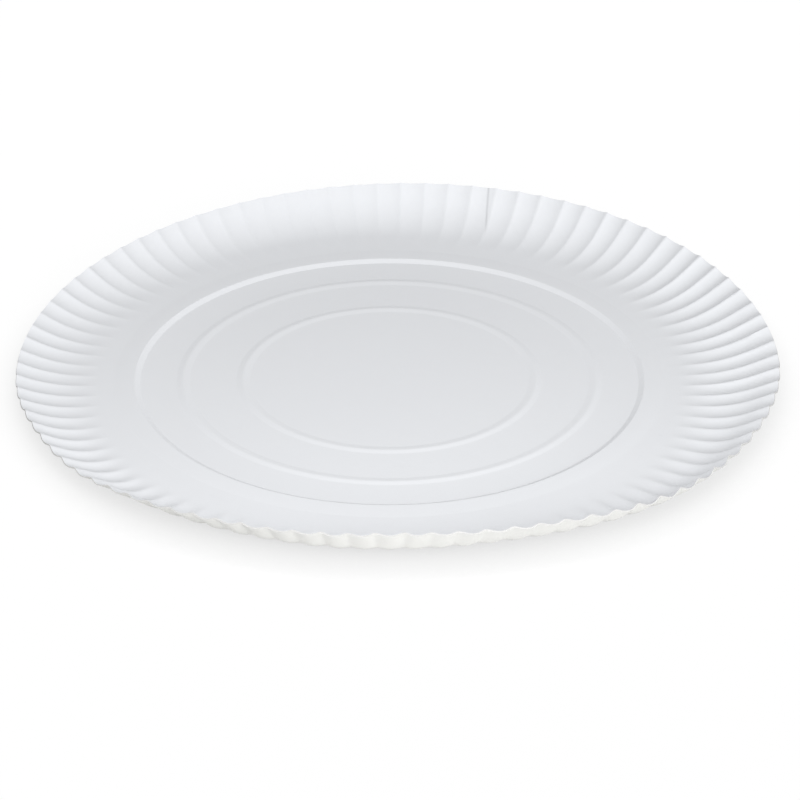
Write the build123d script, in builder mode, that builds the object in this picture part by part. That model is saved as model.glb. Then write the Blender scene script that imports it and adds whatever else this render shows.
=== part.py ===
from build123d import *
from math import cos, radians, sin, sqrt, tan
import os

# Large fluted paper plate, pressed in one piece from a round blank of coated board.
# Millimetres and degrees. The origin is on the surface that the plate stands on,
# under the middle of the blank. The front of the plate faces -Y.

# Board, the round blank, and how far towards -X the rings and flutes were pressed off its middle
board = 0.5
blank_radius = 161.2
press_offset = 3.8

# Widths measured inward: from the blank's edge to the bend and to the flutes' roots,
# then the plain band and the two beads
flange_width = 19.1
flute_length = 39.2
band_width = 15.0
step_to_bead = 20.2
bead_spacing = 25.2

# Beads, each a low ridge between two flanks
bead_flank = 4.2
bead_height = 0.8

# Sharp step up from the middle to the plain band, which falls slightly to a ledge round the flutes
step_width = 1.8
step_height = 1.2
band_fall = 0.5
ledge_width = 6.2

# Flutes, and the rounding where the flange bends up
flute_count = 90
flute_depth = 1.45
bend_rounding = 12.0

# Angle of the flange to the surface: a mean, less at the sides, more at the back and front
flange_angle = 31.5
side_relax = 8.6
back_lift = 6.5
front_fold = 16.2
front_span = 41.0

root_radius = blank_radius - flute_length
bend_radius = blank_radius - flange_width
step_radius = root_radius - band_width
bead_radii = (step_radius - step_to_bead - bead_spacing, step_radius - step_to_bead)
ledge_height = step_height - band_fall
half_pitch = 180.0 / flute_count
press_centre = (-press_offset, 0, 0)


def flange_slope(azimuth):
    """Angle of the flange at one azimuth."""
    from_front = abs((azimuth + 90.0 + 180.0) % 360.0 - 180.0)
    slope = flange_angle - side_relax * cos(radians(2 * azimuth)) + back_lift * sin(radians(azimuth))
    if from_front < front_span:
        slope += front_fold * cos(radians(90.0 * from_front / front_span)) ** 2
    return slope


def reach_to_edge(azimuth):
    """Distance from the rings' centre to the edge of the flat blank."""
    turned = radians(azimuth)
    return press_offset * cos(turned) + sqrt(blank_radius**2 - (press_offset * sin(turned)) ** 2)


def draw_flange(step):
    """Section of the flange in one radial plane, where every even step is a crest."""
    azimuth = step * half_pitch
    slope = radians(flange_slope(azimuth))
    is_crest = step % 2 == 0
    lift = flute_depth if is_crest else 0.0
    root = root_radius if is_crest else root_radius * cos(radians(half_pitch))
    top = ledge_height + board
    turned_up = reach_to_edge(azimuth) - bend_radius
    bend = Vector(bend_radius, top + lift)
    rim = bend + Vector(cos(slope), sin(slope)) * turned_up - Vector(sin(slope), 0) * lift
    through_board = Vector(sin(slope), -cos(slope)) * board
    under_bend = bend + Vector(tan(slope / 2), -1) * board
    face = FilletPolyline((root, top), bend, rim, radius=bend_rounding)
    under_root = (root, ledge_height)
    back = FilletPolyline(under_root, under_bend, rim + through_board, radius=bend_rounding + board)
    Line(face @ 0, back @ 0)
    Line(face @ 1, back @ 1)


def make_flute(index):
    """One flute from crest to crest, down into the trough between them."""
    with BuildPart() as flute:
        for step in (2 * index, 2 * index + 1, 2 * index + 2):
            turned = radians(step * half_pitch)
            outward = (cos(turned), sin(turned), 0)
            sideways = (sin(turned), -cos(turned), 0)
            with BuildSketch(Plane(press_centre, x_dir=outward, z_dir=sideways)):
                with BuildLine():
                    draw_flange(step)
                make_face()
        loft(ruled=True)
    return flute.part


# Top line of the middle, from the centre to the flutes
outline = [(0, board)]
for radius in bead_radii:
    outline.append((radius - bead_flank, board))
    outline.append((radius, board + bead_height))
    outline.append((radius + bead_flank, board))
outline.append((step_radius - step_width, board))
outline.append((step_radius, board + step_height))
outline.append((root_radius - ledge_width, board + ledge_height))
outline.append((root_radius + ledge_width, board + ledge_height))

flutes = [make_flute(index) for index in range(flute_count)]

with BuildPart() as plate:
    with BuildSketch(Plane(press_centre, x_dir=(1, 0, 0), z_dir=(0, -1, 0))):
        with BuildLine():
            Polyline(*outline)
            offset(amount=board, side=Side.RIGHT, kind=Kind.INTERSECTION)
        make_face()
    revolve(axis=Axis(press_centre, (0, 0, 1)))
    # The middle ends in a straight-sided outline, one side for each flute's root
    with BuildSketch(Plane(press_centre)):
        RegularPolygon(root_radius, flute_count)
    extrude(amount=step_height + 2 * board, mode=Mode.INTERSECT)
    add(flutes)

plate.part.label = "plate"
os.makedirs("parts", exist_ok=True)
export_step(plate.part, "parts/plate.step")
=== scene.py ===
import bpy
from math import atan2, cos, pi, radians, sin, tan
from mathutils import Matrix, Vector


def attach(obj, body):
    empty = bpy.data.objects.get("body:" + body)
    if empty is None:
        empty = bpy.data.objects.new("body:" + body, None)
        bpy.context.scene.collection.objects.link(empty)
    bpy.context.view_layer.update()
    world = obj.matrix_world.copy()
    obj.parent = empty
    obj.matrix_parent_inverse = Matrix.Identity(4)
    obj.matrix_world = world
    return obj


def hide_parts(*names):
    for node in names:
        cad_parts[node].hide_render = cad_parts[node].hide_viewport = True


# Large fluted paper plate: one pressed sheet of coated board, standing on a pale floor.
# Metres, in the frame's own axes: +Z up, and the front of the plate faces -Y.

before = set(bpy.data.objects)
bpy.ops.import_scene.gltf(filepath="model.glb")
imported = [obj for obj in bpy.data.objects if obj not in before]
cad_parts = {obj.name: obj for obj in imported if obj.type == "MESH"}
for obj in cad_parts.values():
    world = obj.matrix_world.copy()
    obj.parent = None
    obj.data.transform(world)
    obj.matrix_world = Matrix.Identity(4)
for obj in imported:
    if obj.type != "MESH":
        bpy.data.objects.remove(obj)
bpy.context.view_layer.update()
mm = 0.001
print("frame loaded")


# One socket of a node tree: sums on it add Math nodes
class Wire:
    def __init__(self, graph, socket):
        self.graph = graph
        self.socket = socket

    def at(self, name):  # another output of the same node
        return Wire(self.graph, self.socket.node.outputs[name])

    def math(self, operation, *others):
        values = dict(enumerate((self,) + others))
        return self.graph.node("ShaderNodeMath", {"operation": operation}, values)

    def clamp(self):
        return self.math("MAXIMUM", 0.0).math("MINIMUM", 1.0)

    def __add__(self, other):
        return self.math("ADD", other)

    def __radd__(self, other):
        return self + other

    def __sub__(self, other):
        return self.math("SUBTRACT", other)

    def __rsub__(self, other):
        return self * -1.0 + other

    def __mul__(self, other):
        return self.math("MULTIPLY", other)

    def __rmul__(self, other):
        return self * other

    def __truediv__(self, other):
        return self.math("DIVIDE", other)

    def __rtruediv__(self, other):
        return self ** -1.0 * other

    def __pow__(self, other):
        return self.math("POWER", other)


# Makes nodes in one tree: settings first, then a value or a wire for each socket
class Graph:
    def __init__(self, tree):
        self.tree = tree

    def node(self, kind, settings=None, sockets=None):
        made = self.tree.nodes.new(kind)
        for name, value in (settings or {}).items():
            setattr(made, name, value)
        for name, value in (sockets or {}).items():
            if isinstance(value, Wire):
                self.tree.links.new(value.socket, made.inputs[name])
            else:
                made.inputs[name].default_value = value
        return Wire(self, made.outputs[0]) if made.outputs else None


# The pressed section, as a line of stations from the middle out to the rim
plateSection = {
    "board": 0.5 * mm,
    "rootRadius": 122.0 * mm,
    "bandWidth": 15.0 * mm,
    "stepToBead": 20.2 * mm,
    "beadSpacing": 25.2 * mm,
    "beadInnerFlank": 3.0 * mm,
    "beadOuterFlank": 2.6 * mm,
    "beadHeight": 0.42 * mm,
    "beadRound": 5.0 * mm,
    "stepWidth": 2.4 * mm,
    "stepHeight": 1.2 * mm,
    "stepRound": 0.8 * mm,
    "bandRound": 6.0 * mm,
    "bandFall": 0.5 * mm,
    "ledgeWidth": 6.2 * mm,
    "cornerSteps": 3,
    "flangeSteps": 20,
}


# Points of a line with each inner corner turned into an arc
def roundCorners(corners, rounding, steps):
    points = [corners[0]]
    for before, corner, after, radius in zip(corners, corners[1:], corners[2:], rounding):
        turnIn = atan2(corner[1] - before[1], corner[0] - before[0])
        turnOut = atan2(after[1] - corner[1], after[0] - corner[0])
        side = 1.0 if turnOut > turnIn else -1.0
        reach = radius * abs(tan((turnOut - turnIn) / 2))
        startX = corner[0] - reach * cos(turnIn)
        startZ = corner[1] - reach * sin(turnIn)
        centreX = startX - side * radius * sin(turnIn)
        centreZ = startZ + side * radius * cos(turnIn)
        for step in range(steps + 1):
            turn = turnIn + (turnOut - turnIn) * step / steps
            points.append((centreX + side * radius * sin(turn), centreZ - side * radius * cos(turn)))
    points.append(corners[-1])
    return points


# Stations hold radius, share of the way out along the flange, and height
def makeStations(size):
    rootRadius = size["rootRadius"]
    stepRadius = rootRadius - size["bandWidth"]
    floorTop = size["board"]
    ledgeTop = floorTop + size["stepHeight"] - size["bandFall"]
    corners = [(0.0, floorTop)]
    rounding = []
    for radius in (stepRadius - size["stepToBead"] - size["beadSpacing"], stepRadius - size["stepToBead"]):
        corners.append((radius - size["beadInnerFlank"], floorTop))
        corners.append((radius, floorTop + size["beadHeight"]))
        corners.append((radius + size["beadOuterFlank"], floorTop))
        rounding += [size["beadRound"]] * 3
    corners.append((stepRadius - size["stepWidth"], floorTop))
    corners.append((stepRadius, floorTop + size["stepHeight"]))
    corners.append((rootRadius - size["ledgeWidth"], ledgeTop))
    corners.append((rootRadius, ledgeTop))
    rounding += [size["stepRound"], size["stepRound"], size["bandRound"]]
    stations = [(x, 0.0, z) for x, z in roundCorners(corners, rounding, size["cornerSteps"])]
    for step in range(1, size["flangeSteps"] + 1):
        stations.append((rootRadius, step / size["flangeSteps"], ledgeTop))
    return stations


# Named inputs of the press; lengths in metres, angles in degrees. A nudge is a stretch of the rim
# where the flange stands steeper than the rule for the whole plate says, and its delay is how much
# further out the bend lies there. Flutes start slowly where the band ends, and later in front.
pressInputs = {
    "Board": plateSection["board"],
    "Blank Radius": 161.15 * mm,
    "Bend Radius": 142.1 * mm,
    "Half Bend": 12.5 * mm,
    "Tighter in Front": 5.5 * mm,
    "Press Offset": 3.8 * mm,
    "Flute Count": 90,
    "Columns per Flute": 8,
    "Bunching at Crests": 0.5,
    "Flute Depth": 1.45 * mm,
    "Slow Start": 1.1,
    "Late in Front": 7.5 * mm,
    "Deeper on the Right": 0.22,
    "Deepest Azimuth": -12.0,
    "Shallower at the Back": 0.5,
    "Shallower in Front": 0.35,
    "Trough Roundness": 2.7,
    "Crest Roundness": 0.4,
    "Flange Angle": 31.5,
    "Side Relax": 8.6,
    "Back Lift": 6.5,
    "Front Fold": 17.4,
    "Front Span": 41.0,
    "Right Nudge Azimuth": 321.0,
    "Right Nudge Span": 38.0,
    "Right Nudge": 14.5,
    "Right Nudge Delay": 8.7 * mm,
    "Left Nudge Azimuth": 203.0,
    "Left Nudge Span": 18.0,
    "Left Nudge": 6.5,
    "Left Front Nudge Azimuth": 236.0,
    "Left Front Nudge Span": 28.0,
    "Left Front Nudge": 11.0,
    "Right Front Nudge Azimuth": 300.0,
    "Right Front Nudge Span": 20.0,
    "Right Front Nudge": 6.5,
    "Uneven Depth": 0.20,
    "Uneven Pitch": 0.25,
    "Seed": 7,
    "Weld Distance": 0.001 * mm,
    "Sharp Edge Angle": 57.3,
}

# The front's azimuth, and sines of the azimuth between which a change of the flange sets in
frontAzimuth = -90.0
frontFade = (-0.15, -0.65)
farFrontFade = (-2.0 / 3.0, -1.0)
backFade = (0.5, 1.0)


# 0 up to the first of two limits, 1 from the second on, and a straight rise between them
def fadeIn(value, limits):
    return ((value - limits[0]) / (limits[1] - limits[0])).clamp()


# Degrees from one azimuth to another, from -180 to 180
def turnedFrom(centre, azimuth):
    return (azimuth - centre + 540.0).math("MODULO", 360.0) - 180.0


# 1 at one azimuth, falling smoothly to 0 at a span either side of it
def nearTo(azimuth, centre, span):
    apart = turnedFrom(centre, azimuth) / span
    return (1.0 - apart * apart).math("MAXIMUM", 0.0) ** 2.0


# How much of a length past a bend counts, when the bend is a curve of this half length
def bendShare(past, halfBend):
    curved = (past + halfBend).math("MAXIMUM", 0.0).math("MINIMUM", 2.0 * halfBend)
    return curved * curved / (4.0 * halfBend) + (past - halfBend).math("MAXIMUM", 0.0)


# A steady random number from 0 to 1 for each crest
def unevenness(graph, crestNumber, seed):
    made = graph.node("FunctionNodeRandomValue", {"data_type": "FLOAT"}, {
        2: 0.0, 3: 1.0, "ID": crestNumber, "Seed": seed})
    return made.at(1)


# An empty node tree with the press's named inputs
def newPressTree():
    tree = bpy.data.node_groups.new("pressPlate", "GeometryNodeTree")
    tree.interface.new_socket("Geometry", in_out="INPUT", socket_type="NodeSocketGeometry")
    for name, value in pressInputs.items():
        kind = "NodeSocketInt" if isinstance(value, int) else "NodeSocketFloat"
        tree.interface.new_socket(name, in_out="INPUT", socket_type=kind)
    tree.interface.new_socket("Geometry", in_out="OUTPUT", socket_type="NodeSocketGeometry")
    return tree


# A grid with a row for each station and some columns for each flute. Returns the grid, the station
# under each of its points, and the number of flutes between that point and azimuth 0.
def layGrid(graph, given):
    section = given.at("Geometry")
    perFlute = given.at("Columns per Flute")
    position = graph.node("GeometryNodeInputPosition")
    rows = graph.node("GeometryNodeAttributeDomainSize", {"component": "MESH"}, {"Geometry": section})
    columns = given.at("Flute Count") * perFlute
    grid = graph.node("GeometryNodeMeshGrid", None, {
        "Size X": rows - 1.0, "Size Y": columns, "Vertices X": rows, "Vertices Y": columns + 1.0})
    spot = graph.node("ShaderNodeSeparateXYZ", None, {0: position})
    row = (spot.at("X") + (rows - 1.0) / 2.0).math("ROUND")
    turns = (spot.at("Y") + columns / 2.0).math("ROUND") / perFlute
    station = graph.node("GeometryNodeSampleIndex", {"data_type": "FLOAT_VECTOR", "domain": "POINT"}, {
        "Geometry": section, "Value": position, "Index": row})
    return grid, graph.node("ShaderNodeSeparateXYZ", None, {0: station}), turns


# Returns how near a column is to a crest, 1 on it and 0 in a trough, how far it counts as in front,
# its azimuth, and the number that makes its crest uneven
def shapeFlutes(graph, given, turns):
    flute = turns.math("FLOOR")
    within = turns - flute
    within = within - given.at("Bunching at Crests") * (within * (2 * pi)).math("SINE") / (2 * pi)
    nearness = (2.0 * within - 1.0).math("ABSOLUTE")
    pitch = 360.0 / given.at("Flute Count")
    inFront = fadeIn(((flute + within) * pitch).math("RADIANS").math("SINE"), frontFade)
    softened = (1.0 - given.at("Crest Roundness")) * inFront + given.at("Crest Roundness")
    rounded = 1.0 + (1.0 - nearness) * given.at("Trough Roundness") * softened
    crest = nearness ** given.at("Trough Roundness") * rounded
    nearest = (turns + 0.5).math("FLOOR").math("MODULO", given.at("Flute Count"))
    depthNoise = unevenness(graph, nearest, given.at("Seed"))
    pitchNoise = unevenness(graph, nearest, given.at("Seed") + 1.0)
    azimuth = (flute + within) * pitch + (pitchNoise - 0.5) * given.at("Uneven Pitch") * crest
    return crest, inFront, azimuth, depthNoise


# Slope of the flange: less at the sides, more in front, and more still where it is nudged
def slopeFlange(given, azimuth, atRight):
    turned = azimuth.math("RADIANS")
    fromFront = turnedFrom(frontAzimuth, azimuth).math("ABSOLUTE")
    fold = ((fromFront / given.at("Front Span")).math("MINIMUM", 1.0) * (pi / 2)).math("COSINE") ** 2.0
    slope = given.at("Flange Angle") - given.at("Side Relax") * (2.0 * turned).math("COSINE")
    slope = slope + given.at("Back Lift") * turned.math("SINE") + given.at("Front Fold") * fold
    slope = slope + given.at("Right Nudge") * atRight
    for side in ("Left", "Left Front", "Right Front"):
        near = nearTo(azimuth, given.at(side + " Nudge Azimuth"), given.at(side + " Nudge Span"))
        slope = slope + given.at(side + " Nudge") * near
    return slope.math("RADIANS")


# How far each column stands above a trough: more on the right, less at the back and in front
def raiseCrests(given, azimuth, crest, depthNoise):
    turned = azimuth.math("RADIANS")
    lift = given.at("Flute Depth") * crest * (1.0 - depthNoise * given.at("Uneven Depth"))
    fromDeepest = turned - given.at("Deepest Azimuth").math("RADIANS")
    lift = lift * (1.0 + fromDeepest.math("COSINE") * given.at("Deeper on the Right"))
    atBack = fadeIn(turned.math("SINE"), backFade)
    farInFront = fadeIn(turned.math("SINE"), farFrontFade)
    shallower = atBack * given.at("Shallower at the Back") + farInFront * given.at("Shallower in Front")
    return lift * (1.0 - shallower)


# Where each point of the grid goes. Each radial line runs on flat, turns up in one bend and ends
# where the round blank does, so the rim's outline follows from the blank.
def pressPoints(graph, given, place, azimuth, lift, inFront):
    radius, along, height = place.at("X"), place.at("Y"), place.at("Z")
    offset = given.at("Press Offset")
    turned = azimuth.math("RADIANS")
    atRight = nearTo(azimuth, given.at("Right Nudge Azimuth"), given.at("Right Nudge Span"))
    slope = slopeFlange(given, azimuth, atRight)
    aside = offset * turned.math("SINE")
    edge = offset * turned.math("COSINE") + (given.at("Blank Radius") ** 2.0 - aside * aside).math("SQRT")
    bend = given.at("Bend Radius") + given.at("Right Nudge Delay") * atRight
    flat = bend - plateSection["rootRadius"]
    past = along * (edge - plateSection["rootRadius"]) - flat
    halfBend = given.at("Half Bend") - given.at("Tighter in Front") * inFront
    before = bendShare(-1.0 * past, halfBend)
    after = bendShare(past, halfBend)
    late = given.at("Late in Front") * inFront
    rise = lift * (1.0 - before / (flat - late)).math("MAXIMUM", 0.0) ** given.at("Slow Start")
    narrowing = slope.math("COSINE") - lift * slope.math("SINE") / (edge - bend)
    onFlange = along.math("GREATER_THAN", 0.0)
    out = radius + onFlange * (flat - before + after * narrowing)
    up = height + onFlange * (rise + after * slope.math("SINE"))
    return graph.node("ShaderNodeCombineXYZ", None, {
        "X": out * turned.math("COSINE") - offset, "Y": out * turned.math("SINE"), "Z": up})


# The board's thickness: the top face pushed through, with the cut edge round the rim
def giveThickness(graph, given, top, bare, cut):
    normal = graph.node("GeometryNodeInputNormal")
    through = graph.node("GeometryNodeExtrudeMesh", {"mode": "FACES"}, {
        "Mesh": top, "Offset": normal, "Offset Scale": given.at("Board") * -1.0, "Individual": False})
    back = graph.node("GeometryNodeSetMaterial", None, {
        "Geometry": through, "Selection": through.at("Top"), "Material": bare})
    back = graph.node("GeometryNodeSetMaterial", None, {
        "Geometry": back, "Selection": through.at("Side"), "Material": cut})
    back = graph.node("GeometryNodeFlipFaces", None, {"Mesh": back})
    whole = graph.node("GeometryNodeJoinGeometry")
    for half in (top, back):
        graph.tree.links.new(half.socket, whole.socket.node.inputs[0])
    return graph.node("GeometryNodeMergeByDistance", None, {
        "Geometry": whole, "Distance": given.at("Weld Distance")})


# The whole press: grid, pressed face, thickness, and smooth shading except at the sharp edges
def buildPressTree(coated, bare, cut):
    tree = newPressTree()
    graph = Graph(tree)
    given = graph.node("NodeGroupInput")
    grid, place, turns = layGrid(graph, given)
    crest, inFront, azimuth, depthNoise = shapeFlutes(graph, given, turns)
    lift = raiseCrests(given, azimuth, crest, depthNoise)
    target = pressPoints(graph, given, place, azimuth, lift, inFront)
    top = graph.node("GeometryNodeSetPosition", None, {"Geometry": grid, "Position": target})
    top = graph.node("GeometryNodeStoreNamedAttribute", {"data_type": "FLOAT", "domain": "POINT"}, {
        "Geometry": top, "Name": "foldLine", "Value": crest * place.at("Y")})
    top = graph.node("GeometryNodeMergeByDistance", None, {
        "Geometry": top, "Distance": given.at("Weld Distance")})
    top = graph.node("GeometryNodeSetMaterial", None, {"Geometry": top, "Material": coated})
    whole = giveThickness(graph, given, top, bare, cut)
    whole = graph.node("GeometryNodeSetShadeSmooth", None, {"Geometry": whole, "Shade Smooth": True})
    sharp = graph.node("GeometryNodeInputMeshEdgeAngle").math(
        "GREATER_THAN", given.at("Sharp Edge Angle").math("RADIANS"))
    whole = graph.node("GeometryNodeSetShadeSmooth", {"domain": "EDGE"}, {
        "Geometry": whole, "Selection": sharp, "Shade Smooth": False})
    whole = graph.node("GeometryNodeRealizeInstances", None, {"Geometry": whole})
    graph.node("NodeGroupOutput", None, {"Geometry": whole})
    return tree


# Presses the plate: a line of stations, the node tree on it, then a plain mesh
def makePlate(coated, bare, cut):
    stations = makeStations(plateSection)
    line = bpy.data.meshes.new("sectionLine")
    line.from_pydata(stations, [(i, i + 1) for i in range(len(stations) - 1)], [])
    blank = bpy.data.objects.new("blank", line)
    bpy.context.scene.collection.objects.link(blank)
    tree = buildPressTree(coated, bare, cut)
    press = blank.modifiers.new("press", "NODES")
    press.node_group = tree
    for item in tree.interface.items_tree:
        if item.name in pressInputs:
            press[item.identifier] = pressInputs[item.name]
    bpy.context.view_layer.update()
    pressed = blank.evaluated_get(bpy.context.evaluated_depsgraph_get())
    mesh = bpy.data.meshes.new_from_object(pressed)
    bpy.data.objects.remove(blank)
    mesh.name = "paperPlate"
    plate = bpy.data.objects.new("paper_plate", mesh)
    bpy.context.scene.collection.objects.link(plate)
    return plate


# Colours are linear; sizes in metres
boardFinish = {
    "coatedColour": (0.824, 0.838, 0.864),
    "bareColour": (0.825, 0.825, 0.805),
    "cutColour": (0.64, 0.64, 0.63),
    "mottleSize": 9.0 * mm,
    "mottle": 0.012,
    "mottleDulling": 0.10,
    "foldDulling": 0.08,
    "fibreSize": 0.45 * mm,
    "fibreStretch": 4.0,
    "fibreDulling": 0.10,
    "bareMottle": 0.04,
    "bareFibres": 0.06,
    "cutFibres": 0.25,
    "cutBlotchSize": 3.0 * mm,
    "cutBlotches": 0.10,
    "coatedGrain": 0.006 * mm,
    "bareGrain": 0.02 * mm,
    "coatedRoughness": 0.42,
    "coatedSheen": 0.25,
    "bareRoughness": 0.85,
    "bareSheen": 0.15,
}

# The one crease at the back of the rim: its inner end, measured from the rings' centre, and its heading
rimCrease = {
    "innerEnd": (42.9 * mm, 129.0 * mm),
    "heading": 85.0,
    "halfWidth": 0.75 * mm,
    "fadeLength": 8.33 * mm,
    "wander": 0.6 * mm,
    "wanderSize": 12.0 * mm,
    "depth": 0.10 * mm,
    # how much darker the crease's line is drawn: painted shade in the crease
    "paintedShade": 0.20,
}


def newMaterial(name):
    material = bpy.data.materials.new(name)
    material.use_nodes = True
    material.node_tree.nodes.clear()
    return material, Graph(material.node_tree)


# Noise in the plate's own coordinates, from about -0.5 to 0.5
def noise(graph, size, detail=2.0, stretch=1.0):
    place = graph.node("ShaderNodeTexCoord").at("Object")
    place = graph.node("ShaderNodeMapping", None, {"Vector": place, "Scale": (1.0, 1.0 / stretch, 1.0)})
    cloud = graph.node("ShaderNodeTexNoise", None, {"Vector": place, "Scale": 1.0 / size, "Detail": detail})
    return cloud - 0.5


def scaled(graph, colour, factor):
    return graph.node("ShaderNodeVectorMath", {"operation": "SCALE"}, {0: colour, "Scale": factor})


def finishBoard(graph, colour, roughness, sheen, height):
    bump = graph.node("ShaderNodeBump", None, {"Strength": 1.0, "Distance": 1.0, "Height": height})
    shader = graph.node("ShaderNodeBsdfPrincipled", None, {
        "Base Color": colour, "Roughness": roughness, "Specular IOR Level": sheen, "Normal": bump})
    graph.node("ShaderNodeOutputMaterial", None, {"Surface": shader})


# How deep in the crease a point lies, 1 along its middle
def creaseShare(graph):
    spot = graph.node("ShaderNodeSeparateXYZ", None, {0: graph.node("ShaderNodeTexCoord").at("Object")})
    endX, endY = rimCrease["innerEnd"]
    x, y = spot.at("X") + (pressInputs["Press Offset"] - endX), spot.at("Y") - endY
    turned = radians(rimCrease["heading"])
    along = x * cos(turned) + y * sin(turned)
    wander = noise(graph, rimCrease["wanderSize"]) * rimCrease["wander"]
    aside = y * cos(turned) - x * sin(turned) + wander
    line = (1.0 - aside.math("ABSOLUTE") / rimCrease["halfWidth"]).clamp()
    return line * (along / rimCrease["fadeLength"]).clamp()


# The food side: a satin coating over faint clouds and a fine grain, with painted shade along the crease
def coatedBoard():
    material, graph = newMaterial("coatedBoard")
    mottle = noise(graph, boardFinish["mottleSize"], detail=4.0)
    grain = noise(graph, boardFinish["fibreSize"], detail=3.0)
    fold = graph.node("ShaderNodeAttribute", {"attribute_name": "foldLine"}).at("Fac")
    crease = creaseShare(graph)
    # The crease's line is drawn darker than the board around it: painted shade in the crease
    shade = 1.0 + mottle * boardFinish["mottle"] - crease * rimCrease["paintedShade"]
    dulling = mottle * boardFinish["mottleDulling"] + fold * boardFinish["foldDulling"]
    roughness = dulling + boardFinish["coatedRoughness"]
    height = grain * boardFinish["coatedGrain"] - crease * rimCrease["depth"]
    finishBoard(graph, scaled(graph, boardFinish["coatedColour"], shade), roughness,
                boardFinish["coatedSheen"], height)
    return material


# The underside: bare, slightly warm board with its fibres showing
def bareBoard():
    material, graph = newMaterial("bareBoard")
    mottle = noise(graph, boardFinish["mottleSize"], detail=4.0)
    fibres = noise(graph, boardFinish["fibreSize"], detail=3.0, stretch=boardFinish["fibreStretch"])
    shade = mottle * boardFinish["bareMottle"] + fibres * boardFinish["bareFibres"] + 1.0
    roughness = fibres * boardFinish["fibreDulling"] + boardFinish["bareRoughness"]
    finishBoard(graph, scaled(graph, boardFinish["bareColour"], shade), roughness,
                boardFinish["bareSheen"], fibres * boardFinish["bareGrain"])
    return material


# The cut edge: torn fibres, greyer than either face
def cutBoard():
    material, graph = newMaterial("cutBoard")
    fibres = noise(graph, boardFinish["fibreSize"], detail=4.0)
    blotches = noise(graph, boardFinish["cutBlotchSize"])
    shade = fibres * boardFinish["cutFibres"] + blotches * boardFinish["cutBlotches"] + 1.0
    roughness = fibres * boardFinish["fibreDulling"] + boardFinish["bareRoughness"]
    finishBoard(graph, scaled(graph, boardFinish["cutColour"], shade), roughness,
                boardFinish["bareSheen"], fibres * boardFinish["bareGrain"])
    return material


plate = makePlate(coatedBoard(), bareBoard(), cutBoard())
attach(plate, "root")
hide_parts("plate")
print("plate pressed:", len(plate.data.polygons), "faces")


# Soft studio light: an even world, a low broad lamp in front on the right, a small one straight in front
lightSet = {
    "worldStrength": 0.53,
    "lamps": {
        "keyLamp": {"azimuth": -66.0, "elevation": 22.0, "distance": 1.2, "size": 0.5, "power": 6.3},
        "nearLamp": {"azimuth": -94.0, "elevation": 45.0, "distance": 0.6, "size": 0.3, "power": 1.13},
    },
}


def lampPlace(lamp):
    turned, lift = radians(lamp["azimuth"]), radians(lamp["elevation"])
    towards = Vector((cos(turned) * cos(lift), sin(turned) * cos(lift), sin(lift)))
    return towards * lamp["distance"]


def makeLights():
    world = bpy.data.worlds.new("studio")
    bpy.context.scene.world = world
    world.use_nodes = True
    world.node_tree.nodes.clear()
    graph = Graph(world.node_tree)
    glow = graph.node("ShaderNodeBackground", None, {
        "Color": (1.0, 1.0, 1.0, 1.0), "Strength": lightSet["worldStrength"]})
    graph.node("ShaderNodeOutputWorld", None, {"Surface": glow})
    for name, given in lightSet["lamps"].items():
        lamp = bpy.data.lights.new(name, "AREA")
        lamp.shape = "DISK"
        lamp.size = given["size"]
        lamp.energy = given["power"]
        holder = bpy.data.objects.new(name, lamp)
        holder.location = lampPlace(given)
        holder.rotation_euler = (-lampPlace(given)).to_track_quat("-Z", "Y").to_euler()
        bpy.context.scene.collection.objects.link(holder)


makeLights()
print("lamps set:", len(lightSet["lamps"]))


# The pale floor, which the camera sees as white with a soft shadow: a faint real one, and a painted contact
# shadow near the plate
stageSet = {
    "floorHalf": 6.0,
    "floorColour": 0.8,
    "shadowShare": 0.10,
    "contactReach": 16.0 * mm,
    "paintedContactShadow": 0.20,
    "contactSamples": 6,
    "openFloor": 1.005,
}


# What one lamp gives the open floor, as the camera would see it
def lampOnFloor(graph, given):
    place = lampPlace(given)
    spot = graph.node("ShaderNodeSeparateXYZ", None, {
        0: graph.node("ShaderNodeNewGeometry").at("Position")})
    awayX, awayY = spot.at("X") - place.x, spot.at("Y") - place.y
    square = awayX * awayX + awayY * awayY + place.z ** 2
    facing = (awayX * place.x + awayY * place.y - place.z ** 2) * (-1.0 / given["distance"])
    strength = stageSet["shadowShare"] * given["power"] * place.z / pi ** 2
    return facing.math("MAXIMUM", 0.0) * strength / (square * square)


def plainFloor(graph, colour):
    return graph.node("ShaderNodeBsdfDiffuse", None, {"Color": (colour, colour, colour, 1.0)})


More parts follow.
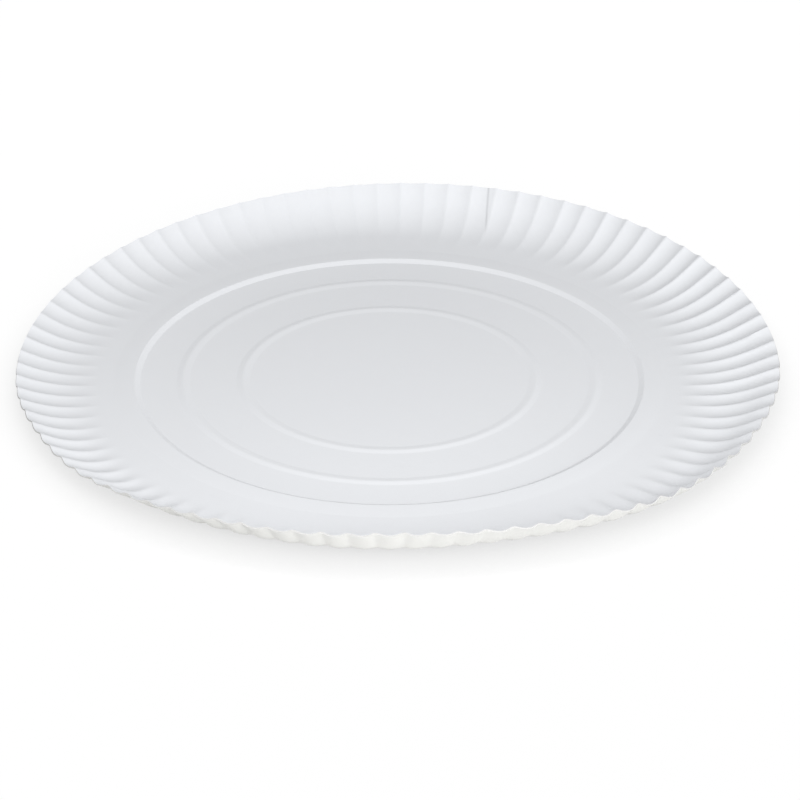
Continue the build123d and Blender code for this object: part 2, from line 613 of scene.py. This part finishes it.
def makeFloor():
    half = stageSet["floorHalf"]
    mesh = bpy.data.meshes.new("floor")
    corners = [(-half, -half, 0), (half, -half, 0), (half, half, 0), (-half, half, 0)]
    mesh.from_pydata(corners, [], [(0, 1, 2, 3)])
    floor = bpy.data.objects.new("floor", mesh)
    bpy.context.scene.collection.objects.link(floor)
    material, graph = newMaterial("paleFloor")
    lit = stageSet["shadowShare"] * lightSet["worldStrength"]
    for given in lightSet["lamps"].values():
        lit += lampOnFloor(graph, given)
    # Painted contact shadow: the floor's glow is dimmed by how much the plate hides the floor's
    # surroundings within a short reach
    hidden = 1.0 - graph.node("ShaderNodeAmbientOcclusion", {"samples": stageSet["contactSamples"]}, {
        "Distance": stageSet["contactReach"]}).at("AO")
    glow = (stageSet["openFloor"] - lit - hidden * stageSet["paintedContactShadow"]).math("MAXIMUM", 0.0)
    seen = graph.node("ShaderNodeAddShader", None, {
        0: plainFloor(graph, stageSet["shadowShare"]),
        1: graph.node("ShaderNodeEmission", None, {"Color": scaled(graph, (1.0, 1.0, 1.0), glow)})})
    ray = graph.node("ShaderNodeLightPath")
    both = graph.node("ShaderNodeMixShader", None, {
        0: (ray + ray.at("Is Glossy Ray")).clamp(), 1: plainFloor(graph, stageSet["floorColour"]), 2: seen})
    graph.node("ShaderNodeOutputMaterial", None, {"Surface": both})
    mesh.materials.append(material)


makeFloor()
print("floor laid")


# The camera stands in front and looks down; the rings' centre shows left of and above the middle
cameraSet = {
    "distance": 1.682,
    "elevation": 28.9,
    "lens": 180.0,
    "sensor": 36.0,
    "frameWidth": 800,
    "centrePixel": (389.5, 377.4),
}


def makeCamera():
    ringsCentre = Vector((-pressInputs["Press Offset"], 0.0, plateSection["board"]))
    lift = radians(cameraSet["elevation"])
    pixel = cameraSet["distance"] * cameraSet["sensor"] / cameraSet["lens"] / cameraSet["frameWidth"]
    back = Vector((0.0, -cos(lift), sin(lift)))
    upward = Vector((0.0, sin(lift), cos(lift)))
    middle = cameraSet["frameWidth"] / 2
    aim = ringsCentre + Vector((1.0, 0.0, 0.0)) * (middle - cameraSet["centrePixel"][0]) * pixel
    aim -= upward * (middle - cameraSet["centrePixel"][1]) * pixel
    camera = bpy.data.cameras.new("camera")
    camera.lens = cameraSet["lens"]
    camera.sensor_width = cameraSet["sensor"]
    holder = bpy.data.objects.new("camera", camera)
    holder.location = ringsCentre + back * cameraSet["distance"]
    holder.rotation_euler = (aim - holder.location).to_track_quat("-Z", "Y").to_euler()
    bpy.context.scene.collection.objects.link(holder)
    bpy.context.scene.camera = holder


makeCamera()
bpy.context.scene.view_settings.view_transform = "Standard"
print("camera placed")
